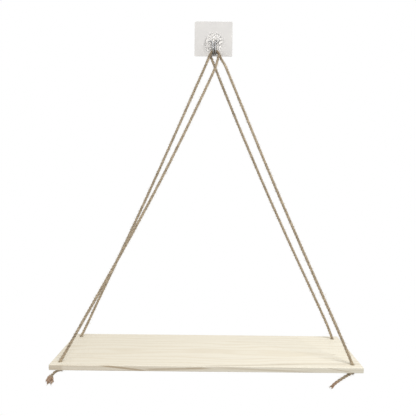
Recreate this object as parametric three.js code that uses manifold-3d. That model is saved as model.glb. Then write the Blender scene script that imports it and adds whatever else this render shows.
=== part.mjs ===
import * as THREE from 'three';
import { mergeVertices } from 'three/addons/utils/BufferGeometryUtils.js';
import Module from 'manifold-3d';

// A hanging rope shelf: a pine board on two jute ropes over a wire hook, which turns in a clear
// boss on an adhesive wall plate. Millimetres, +Z up. The wall is the plane y = 0 and the shelf
// stands out from it towards -Y. The origin is the middle of the adhesive sheet's wall side.

// Adhesive sheet and wall plate
const plate_width = 56;
const plate_height = 50.5;
const plate_thickness = 1.2;
const plate_corner_radius = 1.2;
const plate_soft_corner_radius = 3;
const adhesive_thickness = 0.6;
const adhesive_margin = 0.5;

// Boss with the slot and the two bores that hold the hook
const boss_radius = 12.2;
const boss_height = 7.6;
const boss_rim_height = 1.4;
const boss_face_radius = 5.2;
const boss_drop = 4.6;
const boss_shift = 0.6;
const pivot_rise = 0.2;
const pivot_height = 3.2;
const bore_clearance = 0.3;
const bore_end_clearance = 0.4;
const slot_back_wall = 1;
const slot_side_clearance = 0.5;
const slot_top_clearance = 0.5;
const slot_corner_radius = 1;
const cut_overrun = 3;

// Wire hook
const wire_diameter = 2;
const arm_reach = 8.5;
const arm_bend_radius = 2.2;
const leg_spread = 2.1;
const tip_spread = 1.6;
const bend_shift = 1.4;
const hook_reach = 20.6;
const tip_rise = 0.3;

// Rope, and how it lies over the hook
const rope_diameter = 4;
const rope_gap = 0.7;
const rope_side_room = 1.2;
const saddle_shift = 1.9;
const saddle_depth = 0.95;
const saddle_side_room = 0.8;
const saddle_crown_share = 1.25;
const seat_gap = 0.3;
const saddle_seat_gap = 0.35;

// How far each run bows, and its route by hand: how far up the run each point is, and what share
// of the bow it has. A share below zero bows outwards.
const left_back_bow = 2.3;
const left_front_bow = 8.7;
const right_front_bow = 2.4;
const right_back_bow = 3.4;
const left_back_shares = [
  [0.012, 0.04], [0.04, 0.2], [0.1, 0.28], [0.2, 0.48], [0.32, 0.78], [0.44, 0.98], [0.56, 0.95],
  [0.68, 0.8], [0.8, 0.56], [0.9, 0.28], [0.96, 0.15],
];
const left_front_shares = [
  [0.012, 0.035], [0.04, 0.105], [0.1, 0.23], [0.2, 0.45], [0.32, 0.7], [0.44, 0.9], [0.56, 1],
  [0.68, 0.95], [0.8, 0.81], [0.9, 0.63], [0.96, 0.46],
];
const right_front_shares = [
  [0.012, -0.03], [0.04, -0.1], [0.1, -0.12], [0.2, 0.05], [0.32, 0.22], [0.44, 0.32],
  [0.56, 0.26], [0.68, -0.04], [0.8, -0.54], [0.9, -0.88], [0.96, -1],
];
const right_back_shares = [
  [0.012, -0.15], [0.04, -0.35], [0.1, -0.28], [0.2, 0.08], [0.32, 0.52], [0.44, 0.82],
  [0.56, 0.98], [0.68, 0.92], [0.8, 0.78], [0.9, 0.5], [0.96, 0.26],
];

// Stopper knots and tails
const knot_rope_diameter = 2.7;
const knot_gap = 0.45;
const tail_diameter = 3.6;

// Board
const board_length = 400;
const board_depth = 120;
const board_thickness = 7;
const board_edge_round = 0.9;
const board_corner_radius = 1.6;
const board_drop = 444.6;
const board_shift = -6;
const hole_clearance = 0.6;
const hole_end_inset = 11.2;
const hole_edge_inset = 11.5;

// Places that several pieces share
const plate_front = adhesive_thickness + plate_thickness;
const pivot_depth = plate_front + pivot_height;
const pivot_z = pivot_rise - boss_drop;
const wire_radius = wire_diameter / 2;
const rope_radius = rope_diameter / 2;
const hook_bend_radius = (rope_gap + rope_diameter * 2) / 2 + rope_side_room + wire_radius;
const bend_depth = pivot_depth + hook_bend_radius;
const bend_z = pivot_z - hook_reach + hook_bend_radius;
const board_top = -board_drop;
const board_bottom = board_top - board_thickness;
const board_middle = board_top - board_thickness / 2;

const wasm = await Module();
wasm.setup();

const shelf = new THREE.Group();

function addPiece(name, geometry, color, roughness, metalness = 0) {
  const material = new THREE.MeshStandardMaterial({ color, roughness, metalness });
  const piece = new THREE.Mesh(geometry, material);
  piece.name = name;
  shelf.add(piece);
  return piece;
}

// A solid for cutting, from a closed geometry whose shared vertices are merged.
function toSolid(geometry) {
  const bare = geometry.clone();
  bare.deleteAttribute('normal');
  bare.deleteAttribute('uv');
  const merged = mergeVertices(bare);
  const index = merged.index.array;
  const triangles = [];
  for (let i = 0; i < index.length; i += 3) {
    const [a, b, c] = [index[i], index[i + 1], index[i + 2]];
    if (a !== b && b !== c && c !== a) triangles.push(a, b, c);
  }
  return new wasm.Manifold(new wasm.Mesh({
    numProp: 3,
    vertProperties: new Float32Array(merged.attributes.position.array),
    triVerts: new Uint32Array(triangles),
  }));
}

function toGeometry(solid) {
  const mesh = solid.getMesh();
  const geometry = new THREE.BufferGeometry();
  geometry.setAttribute('position', new THREE.BufferAttribute(mesh.vertProperties, mesh.numProp));
  geometry.setIndex(new THREE.BufferAttribute(mesh.triVerts, 1));
  geometry.computeVertexNormals();
  return geometry;
}

// A rectangle about the origin with its own radius at each corner: bottom left, bottom right,
// top right and top left.
function roundedRectangle(width, height, radii) {
  const [x, y] = [width / 2, height / 2];
  const [bl, br, tr, tl] = radii;
  const outline = new THREE.Shape();
  outline.moveTo(bl - x, -y);
  outline.lineTo(x - br, -y);
  outline.absarc(x - br, br - y, br, -Math.PI / 2, 0);
  outline.lineTo(x, y - tr);
  outline.absarc(x - tr, y - tr, tr, 0, Math.PI / 2);
  outline.lineTo(tl - x, y);
  outline.absarc(tl - x, y - tl, tl, Math.PI / 2, Math.PI);
  outline.lineTo(-x, bl - y);
  outline.absarc(bl - x, bl - y, bl, Math.PI, Math.PI * 1.5);
  return outline;
}

// A plate that stands out from the wall: the outline's y points up, and its depth away from the wall.
function wallPlate(outline, thickness, curveSegments) {
  const geometry = new THREE.ExtrudeGeometry(outline, {
    depth: thickness,
    bevelEnabled: false,
    curveSegments,
  });
  return geometry.rotateX(Math.PI / 2);
}

// A smooth line through hand-placed points, which are also the places of a tube's rings.
class Route extends THREE.CatmullRomCurve3 {
  getUtoTmapping(share) {
    return share;
  }
}

// A closed round tube with a ring at each of the points.
function tubeAlong(points, diameter, sides) {
  const section = new THREE.Shape();
  section.absarc(0, 0, diameter / 2, 0, Math.PI * 2);
  return new THREE.ExtrudeGeometry(section, {
    steps: points.length - 1,
    curveSegments: sides / 2,
    bevelEnabled: false,
    extrudePath: new Route(points),
  });
}

// Points on an arc about a centre, from one angle to another, in the plane of two unit vectors.
function arcPoints(centre, across, up, radius, from, to, steps) {
  const points = [];
  for (let i = 0; i <= steps; i += 1) {
    const angle = from + ((to - from) * i) / steps;
    const point = centre.clone();
    point.addScaledVector(across, radius * Math.cos(angle));
    point.addScaledVector(up, radius * Math.sin(angle));
    points.push(point);
  }
  return points;
}

const right = new THREE.Vector3(1, 0, 0);
const outward = new THREE.Vector3(0, -1, 0);
const up = new THREE.Vector3(0, 0, 1);

// Adhesive sheet, which shows as a slightly smaller square through the clear plate.
const adhesive_width = plate_width - adhesive_margin * 2;
const adhesive_height = plate_height - adhesive_margin * 2;
const plain_corners = [plate_corner_radius, plate_corner_radius, plate_corner_radius];
const plate_corners = [...plain_corners, plate_soft_corner_radius];
const adhesive_outline = roundedRectangle(adhesive_width, adhesive_height, plate_corners);
addPiece('adhesive_sheet', wallPlate(adhesive_outline, adhesive_thickness, 6), 0xded9d2, 0.5);

// Wall plate, clear and square, with one corner rounder than the others.
const plate_outline = roundedRectangle(plate_width, plate_height, plate_corners);
const plate_geometry = wallPlate(plate_outline, plate_thickness, 6);
const wall_plate = addPiece('wall_plate', plate_geometry, 0xe0dcd6, 0.2);
wall_plate.position.y = -adhesive_thickness;

// Boss: a low dome, revolved, with a slot for the hook's legs that is open to the front and the
// bottom, and one cross bore through the slot for the hook's arms.
function bossDome() {
  const shoulder = boss_radius - boss_face_radius;
  const profile = [new THREE.Vector2(0, 0), new THREE.Vector2(boss_radius, 0)];
  const steps = 10;
  for (let i = 0; i <= steps; i += 1) {
    const angle = (i / steps) * (Math.PI / 2);
    const reach = boss_face_radius + shoulder * Math.cos(angle);
    const height = boss_rim_height + (boss_height - boss_rim_height) * Math.sin(angle);
    profile.push(new THREE.Vector2(reach, height));
  }
  profile.push(new THREE.Vector2(0, boss_height));
  const dome = new THREE.LatheGeometry(profile, 48).rotateX(Math.PI);
  return dome.translate(boss_shift, -plate_front, -boss_drop);
}

function bossSlot() {
  const half_width = leg_spread + arm_bend_radius + slot_side_clearance;
  const top = pivot_z + wire_radius + slot_top_clearance;
  const bottom = -boss_drop - boss_radius - cut_overrun;
  const outline = roundedRectangle(half_width * 2, top - bottom, [
    slot_corner_radius, slot_corner_radius, slot_corner_radius, slot_corner_radius,
  ]);
  const cutter = wallPlate(outline, boss_height + cut_overrun, 5);
  return cutter.translate(boss_shift, -plate_front - slot_back_wall, (top + bottom) / 2);
}

function bossBore() {
  const bore_radius = wire_radius + bore_clearance;
  const length = (arm_reach + bore_end_clearance) * 2;
  const bore = new THREE.CylinderGeometry(bore_radius, bore_radius, length, 20);
  return bore.rotateZ(Math.PI / 2).translate(boss_shift, -pivot_depth, pivot_z);
}

const boss = toSolid(bossDome()).subtract(toSolid(bossSlot())).subtract(toSolid(bossBore()));
addPiece('hook_boss', toGeometry(boss), 0xe8e6e2, 0.12);

// Hook: one wire doubled into a hairpin. From its arm in the boss it bends down into a leg, sweeps
// forward round the J and closes over the tip. The J stands a little to the right of the arms.
function hookHalf(side) {
  const arm_end = new THREE.Vector3(boss_shift + side * arm_reach, -pivot_depth, pivot_z);
  const bend_centre = new THREE.Vector3(
    boss_shift + side * (leg_spread + arm_bend_radius),
    -pivot_depth,
    pivot_z - arm_bend_radius,
  );
  const inward = right.clone().multiplyScalar(-side);
  const arm_bend = arcPoints(bend_centre, inward, up, arm_bend_radius, Math.PI / 2, 0, 6);
  const j_centre = new THREE.Vector3(bend_shift + side * tip_spread, -bend_depth, bend_z);
  const j_bend = arcPoints(j_centre, outward, up, hook_bend_radius, Math.PI, Math.PI * 2, 16);
  const tip_centre = new THREE.Vector3(
    bend_shift,
    -bend_depth - hook_bend_radius,
    bend_z + tip_rise,
  );
  const tip = arcPoints(tip_centre, inward, up, tip_spread, Math.PI, Math.PI / 2, 5);
  return [arm_end, ...arm_bend, ...j_bend, ...tip];
}

function hookLine() {
  return [...hookHalf(-1), ...hookHalf(1).slice(0, -1).reverse()];
}

addPiece('hook_wire', tubeAlong(hookLine(), wire_diameter, 10), 0xb9babb, 0.22, 1);

// Board: pine, with eased edges and a round hole near each corner whose mouths are eased too.
const hole_radius = rope_radius + hole_clearance;
const hole_x = board_length / 2 - hole_end_inset;
const hole_y = board_depth / 2 - hole_edge_inset;
const board_y = -board_depth / 2;

function boardSolid() {
  const radii = [0, 1, 2, 3].map(() => board_corner_radius);
  const outline = roundedRectangle(board_length, board_depth, radii);
  for (const side of [-1, 1]) {
    for (const row of [-1, 1]) {
      const hole = new THREE.Path();
      hole.absarc(side * hole_x, row * hole_y, hole_radius, 0, Math.PI * 2, true);
      outline.holes.push(hole);
    }
  }
  return new THREE.ExtrudeGeometry(outline, {
    depth: board_thickness - board_edge_round * 2,
    bevelEnabled: true,
    bevelThickness: board_edge_round,
    bevelSize: board_edge_round,
    bevelOffset: -board_edge_round,
    bevelSegments: 3,
    curveSegments: 10,
  });
}

const shelf_board = addPiece('shelf_board', boardSolid(), 0xe3d6ba, 0.6);
shelf_board.position.set(board_shift, board_y, board_bottom + board_edge_round);

function holeCentre(side, row, z) {
  return new THREE.Vector3(board_shift + side * hole_x, board_y + row * hole_y, z);
}

// The ropes over the hook. Each is a saddle, half an oval that stands clear of both wires, so that
// it can sway about its own centre. The left rope lies in front of the right one in the bend.
const sway_axis_x = saddle_shift;
const rope_step = (rope_diameter + rope_gap) / 2;
const wire_line_drop = Math.sqrt(hook_bend_radius ** 2 - rope_step ** 2);
const sway_axis_z = bend_z - wire_line_drop - saddle_depth;
const rest_reach = wire_radius + saddle_seat_gap + rope_radius;
const far_wire = tip_spread + Math.abs(saddle_shift - bend_shift);
const saddle_half_width = far_wire + rest_reach + saddle_side_room;
const saddle_rise = (saddle_depth + rest_reach) * saddle_crown_share;

function saddleCentre(layer) {
  return new THREE.Vector3(sway_axis_x, -bend_depth - layer * rope_step, sway_axis_z);
}

// Where a straight line from a point below touches the saddle, as an angle from its top, which is
// over a quarter turn where the rope crosses to the other side of the board.
function touchAngle(centre, from, side) {
  const across = ((from.x - centre.x) * side) / saddle_half_width;
  const along = (from.z - centre.z) / saddle_rise;
  const towards = Math.PI - Math.atan2(across, -along);
  return towards - Math.acos(1 / Math.hypot(across, along));
}

function saddlePoint(centre, angle, side) {
  const point = centre.clone();
  point.x += side * saddle_half_width * Math.sin(angle);
  point.z += saddle_rise * Math.cos(angle);
  return point;
}

function saddleDirection(angle, side) {
  const across = side * saddle_half_width * Math.cos(angle);
  return new THREE.Vector3(across, 0, -saddle_rise * Math.sin(angle)).normalize();
}

// A run from the middle of its hole up to the saddle. The first stretch is square to the board and
// the last one keeps to the saddle's own plane. Bows are measured from the straight line between
// the hole and the saddle's side, downwards and square to that line.
function runRoute(hole, centre, side, bow, shares) {
  const start = new THREE.Vector3(hole.x, hole.y, board_top);
  const brink = saddlePoint(centre, Math.PI / 2, side);
  const fall = brink.clone().sub(start);
  const bow_direction = up.clone().negate().addScaledVector(fall, fall.z / fall.lengthSq());
  bow_direction.normalize();
  const route = [hole.clone(), start.clone()];
  for (const [share, bow_share] of shares) {
    const point = start.clone().lerp(brink, share);
    route.push(point.addScaledVector(bow_direction, bow * bow_share));
  }
  const angle = touchAngle(centre, route[route.length - 1], side);
  const along = saddleDirection(angle, side);
  const end = saddlePoint(centre, angle, side).addScaledVector(along, rope_diameter);
  route.push(end.clone().addScaledVector(along, rope_diameter), end);
  return { route, angle };
}

function addRun(name, side, row, layer, saddle_side, bow, shares) {
  const centre = saddleCentre(layer);
  const hole = holeCentre(side, row, board_middle);
  const { route, angle } = runRoute(hole, centre, saddle_side, bow, shares);
  addPiece(name, tubeAlong(route, rope_diameter, 10), 0x9a7444, 0.95);
  return angle;
}

// The part over the hook, with a straight stretch of one diameter at each end.
function addSaddle(name, layer, left_angle, right_angle) {
  const centre = saddleCentre(layer);
  const steps = 12;
  const left_end = saddlePoint(centre, left_angle, -1);
  const right_end = saddlePoint(centre, right_angle, 1);
  const points = [left_end.addScaledVector(saddleDirection(left_angle, -1), rope_diameter)];
  for (let i = 0; i <= steps; i += 1) {
    const angle = -left_angle + ((left_angle + right_angle) * i) / steps;
    points.push(saddlePoint(centre, angle, 1));
  }
  points.push(right_end.addScaledVector(saddleDirection(right_angle, 1), rope_diameter));
  addPiece(name, tubeAlong(points, rope_diameter, 10), 0x8f6b3d, 0.95);
}

const front_layer = 1;
const back_layer = -1;
const left_back = addRun(
  'left_rope_back_run', -1, 1, front_layer, -1, left_back_bow, left_back_shares,
);
const left_front = addRun(
  'left_rope_front_run', -1, -1, front_layer, 1, left_front_bow, left_front_shares,
);
addSaddle('left_rope_over_hook', front_layer, left_back, left_front);
const right_front = addRun(
  'right_rope_front_run', 1, -1, back_layer, 1, right_front_bow, right_front_shares,
);
const right_back = addRun(
  'right_rope_back_run', 1, 1, back_layer, -1, right_back_bow, right_back_shares,
);
addSaddle('right_rope_over_hook', back_layer, right_back, right_front);

// Stopper knots: flat overhand knots that lie against the underside of the board. The turns are a
// threefold loop that goes twice round, so the rope passes over and under itself three times. All
// of a knot and its tail is laid out in shares of the spacing of the turns.
const knot_pitch = knot_rope_diameter + knot_gap;
const knot_radius = knot_rope_diameter / 2;
const knot_inner_share = 0.6;
const knot_swing_share = 0.52;
const knot_rise_share = 0.57;
const knot_offset_share = 0.38;
const knot_rim_share = knot_inner_share + knot_swing_share * 2;
const knot_z = board_bottom - seat_gap - knot_radius - knot_pitch * knot_rise_share;

// Points by hand, as shares towards the board's edge, along the tail and upwards from the knot's
// middle. The first two lead down from the hole into the knot and the others make the tail, each
// with its thickness as a share of the tail's. The left front tail ends in a brush of open fibres.
const knot_lead = [[0, 0, 1.75], [0, 0.03, 1.02]];
const tail_start = [[0.6, 0, -0.1], [0.79, 0.86, -0.27]];
const left_front_tail = [
  [0.87, 1.97, -0.9, 1], [0.87, 2.85, -1.85, 1], [0.87, 3.35, -2.45, 1.1], [0.86, 3.68, -3.05, 1.5],
  [0.85, 3.95, -3.65, 2.1], [0.84, 4.1, -4.3, 2.45], [0.83, 4.2, -4.95, 2.5], [0.82, 4.25, -5.5, 2.2],
];
const right_front_tail = [
  [0.87, 1.97, -0.72, 1], [0.87, 3.2, -1.5, 1], [0.85, 5.1, -2.8, 1], [0.8, 6.85, -4.1, 1.1],
  [0.76, 7.95, -5.2, 1.15], [0.72, 8.65, -6.2, 1.1],
];
const back_tail = [
  [0.87, 1.97, -0.8, 1], [0.87, 3.2, -1.65, 1], [0.8, 4.6, -2.75, 1.05], [0.7, 5.9, -3.9, 1.2],
];

function knotTurnShares() {
  const shares = [];
  const steps = 22;
  const start_angle = 0.25;
  const end_angle = Math.PI * 2 - 0.4;
  for (let i = 0; i <= steps; i += 1) {
    const turn = start_angle + ((end_angle - start_angle) * i) / steps;
    const reach = knot_inner_share + knot_swing_share * (1 + Math.cos(turn * 3));
    const edgeward = reach * Math.cos(turn * 2) - knot_rim_share;
    const along = reach * Math.sin(turn * 2) + knot_offset_share;
    shares.push([edgeward, along, knot_rise_share * Math.sin(turn * 3)]);
  }
  return shares;
}

// The smallest gap between two parts of a tube that aren't neighbours along it.
function leastGap(points, radii) {
  const reach = [0];
  for (let i = 1; i < points.length; i += 1) {
    reach.push(reach[i - 1] + points[i].distanceTo(points[i - 1]));
  }
  let least = Infinity;
  for (let i = 0; i < points.length; i += 1) {
    for (let j = i + 1; j < points.length; j += 1) {
      const widths = radii[i] + radii[j];
      if (reach[j] - reach[i] > knot_pitch + widths * 1.5) {
        least = Math.min(least, points[i].distanceTo(points[j]) - widths);
      }
    }
  }
  return least;
}

// A closed loft through round sections of its own radius at each point, for rope that is squeezed
// in the knot and opens out at its end. The first section is carried along without twist.
function ropeLoft(points, radii, sides) {
  const count = points.length;
  const corners = [];
  const faces = [];
  let side = null;
  points.forEach((point, i) => {
    const ahead = points[Math.min(i + 1, count - 1)];
    const behind = points[Math.max(i - 1, 0)];
    const along = ahead.clone().sub(behind).normalize();
    if (side === null) {
      const axes = [new THREE.Vector3(1, 0, 0), new THREE.Vector3(0, 1, 0)];
      side = Math.abs(along.x) < Math.abs(along.y) ? axes[0] : axes[1];
    }
    side = side.clone().addScaledVector(along, -side.dot(along)).normalize();
    const across = along.clone().cross(side);
    for (let j = 0; j < sides; j += 1) {
      const angle = (j / sides) * Math.PI * 2;
      const corner = point.clone();
      corner.addScaledVector(side, radii[i] * Math.cos(angle));
      corner.addScaledVector(across, radii[i] * Math.sin(angle));
      corners.push(corner);
    }
  });
  for (let i = 0; i + 1 < count; i += 1) {
    for (let j = 0; j < sides; j += 1) {
      const a = i * sides + j;
      const b = i * sides + ((j + 1) % sides);
      faces.push(a, b, b + sides, a, b + sides, a + sides);
    }
  }
  const first = corners.length;
  const last = first + 1;
  const end = (count - 1) * sides;
  corners.push(points[0], points[count - 1]);
  for (let j = 0; j < sides; j += 1) {
    const next = (j + 1) % sides;
    faces.push(first, next, j, last, end + j, end + next);
  }
  const geometry = new THREE.BufferGeometry().setFromPoints(corners);
  geometry.setIndex(faces);
  geometry.computeVertexNormals();
  return geometry;
}

function addKnot(name, side, row, tail) {
  const hole = holeCentre(side, row, board_middle);
  const turns = knotTurnShares();
  const shares = [...knot_lead, ...turns, ...tail_start, ...tail];
  const route = shares.map(([edgeward, along, rise]) => new THREE.Vector3(
    hole.x + row * along * knot_pitch,
    hole.y + row * edgeward * knot_pitch,
    knot_z + rise * knot_pitch,
  ));
  const knot_radii = [...turns, ...tail_start].map(() => knot_radius);
  const lead_radii = [(rope_radius + knot_radius) / 2, knot_radius];
  const tail_radii = tail.map(([, , , thickness]) => (tail_diameter / 2) * thickness);
  const route_radii = [rope_radius, ...lead_radii, ...knot_radii, ...tail_radii];
  const neck = hole.clone();
  neck.z -= rope_radius / 2;
  const line = new THREE.CatmullRomCurve3([neck, ...route]);
  const steps = route.length * 2;
  const points = [hole];
  const radii = [rope_radius];
  for (let i = 0; i <= steps; i += 1) {
    const index = Math.min(Math.floor(i / 2), route.length - 1);
    const share = i / 2 - index;
    points.push(line.getPoint(i / steps));
    radii.push(THREE.MathUtils.lerp(route_radii[index], route_radii[index + 1], share));
  }
  addPiece(name, ropeLoft(points, radii, 8), 0xa37c49, 0.95);
  console.log(`${name}: least gap to itself ${leastGap(points, radii).toFixed(2)} mm`);
}

addKnot('left_rope_back_knot', -1, 1, back_tail);
addKnot('left_rope_front_knot', -1, -1, left_front_tail);
addKnot('right_rope_back_knot', 1, 1, back_tail);
addKnot('right_rope_front_knot', 1, -1, right_front_tail);

export default shelf;
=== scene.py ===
import math
import random

import bmesh
import bpy
from mathutils import Matrix, Vector, noise


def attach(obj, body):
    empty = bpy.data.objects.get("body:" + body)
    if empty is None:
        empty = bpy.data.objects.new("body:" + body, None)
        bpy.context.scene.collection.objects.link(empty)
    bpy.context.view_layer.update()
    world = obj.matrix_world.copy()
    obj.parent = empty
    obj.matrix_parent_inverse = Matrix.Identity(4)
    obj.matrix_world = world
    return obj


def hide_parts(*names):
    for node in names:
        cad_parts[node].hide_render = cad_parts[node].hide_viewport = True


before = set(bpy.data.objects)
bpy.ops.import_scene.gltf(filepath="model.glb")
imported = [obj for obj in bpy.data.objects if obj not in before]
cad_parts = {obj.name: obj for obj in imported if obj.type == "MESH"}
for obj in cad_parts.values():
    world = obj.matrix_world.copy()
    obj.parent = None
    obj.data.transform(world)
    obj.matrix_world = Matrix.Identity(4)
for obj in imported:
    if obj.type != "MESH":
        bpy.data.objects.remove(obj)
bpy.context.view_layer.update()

# Camera. The shelf is seen from straight in front at about the middle of its height, from 0.68 m
# away, with the camera tipped down three degrees and turned half a degree on its own axis.
camera_place = Vector((-0.0044, -0.6801, -0.2138))
camera_yaw = math.radians(-0.119)
camera_pitch = math.radians(3.046)
camera_roll = math.radians(-0.546)
sensor_width = 36.0
picture_width = 416
focal_length_in_pixels = 451.5

ahead = Vector(
    (
        math.sin(camera_yaw) * math.cos(camera_pitch),
        math.cos(camera_yaw) * math.cos(camera_pitch),
        -math.sin(camera_pitch),
    )
)
level_right = Vector((math.cos(camera_yaw), -math.sin(camera_yaw), 0))
level_down = ahead.cross(level_right)
camera_right = level_right * math.cos(camera_roll) + level_down * math.sin(camera_roll)
camera_down = level_down * math.cos(camera_roll) - level_right * math.sin(camera_roll)

camera = bpy.data.objects.new("camera", bpy.data.cameras.new("camera"))
bpy.context.collection.objects.link(camera)
camera.data.sensor_width = sensor_width
camera.data.lens = sensor_width * focal_length_in_pixels / picture_width
camera.data.clip_start = 0.01
camera.data.clip_end = 50
turn = Matrix((camera_right, -camera_down, -ahead)).transposed().to_4x4()
camera.matrix_world = Matrix.Translation(camera_place) @ turn
bpy.context.scene.camera = camera
bpy.context.scene.view_settings.view_transform = "Standard"

# Studio. A pale round floor well below the hanging shelf, a large soft lamp above and in front of
# it to the right, a weaker one to the left, and a white surround that the eye, gloss and glass see.
floor_drop = 1.0
floor_radius = 0.7
floor_centre_y = -0.06
floor_fade_start_share = 0.3
floor_colour = (0.86, 0.86, 0.86, 1)
surround_light = 0.52
white = (1, 1, 1, 1)


def add_lamp(name, place, target, width, watts):
    lamp = bpy.data.lights.new(name, "AREA")
    lamp.shape = "SQUARE"
    lamp.size = width
    lamp.energy = watts
    holder = bpy.data.objects.new(name, lamp)
    bpy.context.collection.objects.link(holder)
    direction = Vector(target) - Vector(place)
    holder.rotation_euler = direction.to_track_quat("-Z", "Y").to_euler()
    holder.location = place


add_lamp("key_lamp", place=(0.75, -0.95, 0.85), target=(0, -0.06, -0.35), width=0.9, watts=17)
add_lamp("fill_lamp", place=(-1.0, -1.2, 0.1), target=(0, -0.06, -0.3), width=1.0, watts=6)


def new_material(name):
    material = bpy.data.materials.new(name)
    material.use_nodes = True
    tree = material.node_tree
    return material, tree, tree.nodes["Principled BSDF"]


def add_node(tree, kind, **settings):
    made = tree.nodes.new(kind)
    for key, value in settings.items():
        if key in made.inputs:
            made.inputs[key].default_value = value
        else:
            setattr(made, key, value)
    return made


def calculate(tree, operation, *values):
    """A Math node on numbers or sockets; gives its output socket."""
    made = tree.nodes.new("ShaderNodeMath")
    made.operation = operation
    for place, value in enumerate(values):
        if isinstance(value, (int, float)):
            made.inputs[place].default_value = value
        else:
            tree.links.new(value, made.inputs[place])
    return made.outputs[0]


def fade_out(tree, value, near, far):
    """One up to the near value, nothing past the far one, and smooth in between."""
    made = tree.nodes.new("ShaderNodeMapRange")
    made.interpolation_type = "SMOOTHSTEP"
    made.inputs["From Min"].default_value = near
    made.inputs["From Max"].default_value = far
    made.inputs["To Min"].default_value = 1
    made.inputs["To Max"].default_value = 0
    tree.links.new(value, made.inputs["Value"])
    return made.outputs["Result"]


world = bpy.data.worlds.new("surround")
bpy.context.scene.world = world
world.use_nodes = True
world_tree = world.node_tree
path_kind = world_tree.nodes.new("ShaderNodeLightPath")
seen = calculate(
    world_tree,
    "MAXIMUM",
    calculate(
        world_tree,
        "MAXIMUM",
        path_kind.outputs["Is Camera Ray"],
        path_kind.outputs["Is Glossy Ray"],
    ),
    path_kind.outputs["Is Transmission Ray"],
)
surround = world_tree.nodes["Background"]
surround.inputs["Color"].default_value = white
strength = calculate(world_tree, "MULTIPLY_ADD", seen, 1 - surround_light, surround_light)
world_tree.links.new(strength, surround.inputs["Strength"])

floor_mesh = bpy.data.meshes.new("floor")
floor_shape = bmesh.new()
bmesh.ops.create_circle(floor_shape, cap_ends=True, segments=96, radius=floor_radius)
bmesh.ops.translate(floor_shape, vec=(0, floor_centre_y, -floor_drop), verts=floor_shape.verts)
floor_shape.to_mesh(floor_mesh)
floor_shape.free()
floor = bpy.data.objects.new("floor", floor_mesh)
bpy.context.collection.objects.link(floor)
floor_material, floor_tree, floor_shader = new_material("pale_floor")
floor_shader.inputs["Base Color"].default_value = floor_colour
floor_shader.inputs["Roughness"].default_value = 0.9
# Toward its rim the floor fades to the surround's white for the eye.
floor_place = add_node(floor_tree, "ShaderNodeTexCoord")
floor_reach = add_node(floor_tree, "ShaderNodeVectorMath", operation="DISTANCE")
floor_reach.inputs[1].default_value = (0, floor_centre_y, -floor_drop)
floor_tree.links.new(floor_place.outputs["Object"], floor_reach.inputs[0])
floor_seen = add_node(floor_tree, "ShaderNodeLightPath").outputs["Is Camera Ray"]
fade_start = floor_radius * floor_fade_start_share
kept = fade_out(floor_tree, floor_reach.outputs["Value"], fade_start, floor_radius)
faded = calculate(floor_tree, "MULTIPLY", calculate(floor_tree, "SUBTRACT", 1.0, kept), floor_seen)
glow = add_node(floor_tree, "ShaderNodeEmission", Color=white, Strength=1.0)
floor_mix = floor_tree.nodes.new("ShaderNodeMixShader")
floor_tree.links.new(faded, floor_mix.inputs[0])
floor_tree.links.new(floor_shader.outputs["BSDF"], floor_mix.inputs[1])
floor_tree.links.new(glow.outputs["Emission"], floor_mix.inputs[2])
floor_output = floor_tree.nodes["Material Output"]
floor_tree.links.new(floor_mix.outputs["Shader"], floor_output.inputs["Surface"])
floor_mesh.materials.append(floor_material)

# Adhesive sheet. A thin square of clear acrylic foam tape behind the plate, cut a little smaller
# than the plate, which holds the whole shelf on the wall.
plate_width = 0.056
plate_height = 0.0505
plate_thickness = 0.0012
adhesive_thickness = 0.0006
adhesive_margin = 0.0005
adhesive_edge_round = 0.00008
corner_radius = 0.0012
soft_corner_radius = 0.003
square_angle = 1.5
foam_dark = (0.84, 0.81, 0.78, 1)
foam_light = (0.92, 0.9, 0.87, 1)


def bump_from(tree, shader, height, depth):
    made = tree.nodes.new("ShaderNodeBump")
    made.inputs["Distance"].default_value = depth
    tree.links.new(height, made.inputs["Height"])
    tree.links.new(made.outputs["Normal"], shader.inputs["Normal"])


def ramp_of(tree, value, *stops):
    """A colour ramp with the given (place, colour) stops; gives its colour output."""
    made = tree.nodes.new("ShaderNodeValToRGB")
    elements = made.color_ramp.elements
    while len(elements) < len(stops):
        elements.new(0.5)
    for element, (place, colour) in zip(elements, stops):
        element.position = place
        element.color = colour
    tree.links.new(value, made.inputs["Fac"])
    return made.outputs["Color"]


def finish_piece(name, shape, material, body, slot, *nodes, smooth=True):
    """An object from a bmesh or a mesh, in place of the CAD nodes named."""
    if isinstance(shape, bmesh.types.BMesh):
        mesh = bpy.data.meshes.new(name)
        shape.to_mesh(mesh)
        shape.free()
    else:
        mesh = shape
        mesh.name = name
    mesh.materials.clear()
    mesh.materials.append(material)
    for face in mesh.polygons:
        face.use_smooth = smooth
    piece = bpy.data.objects.new(name, mesh)
    bpy.context.collection.objects.link(piece)
    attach(piece, body)
    if nodes:
        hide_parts(*nodes)
    return piece


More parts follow.
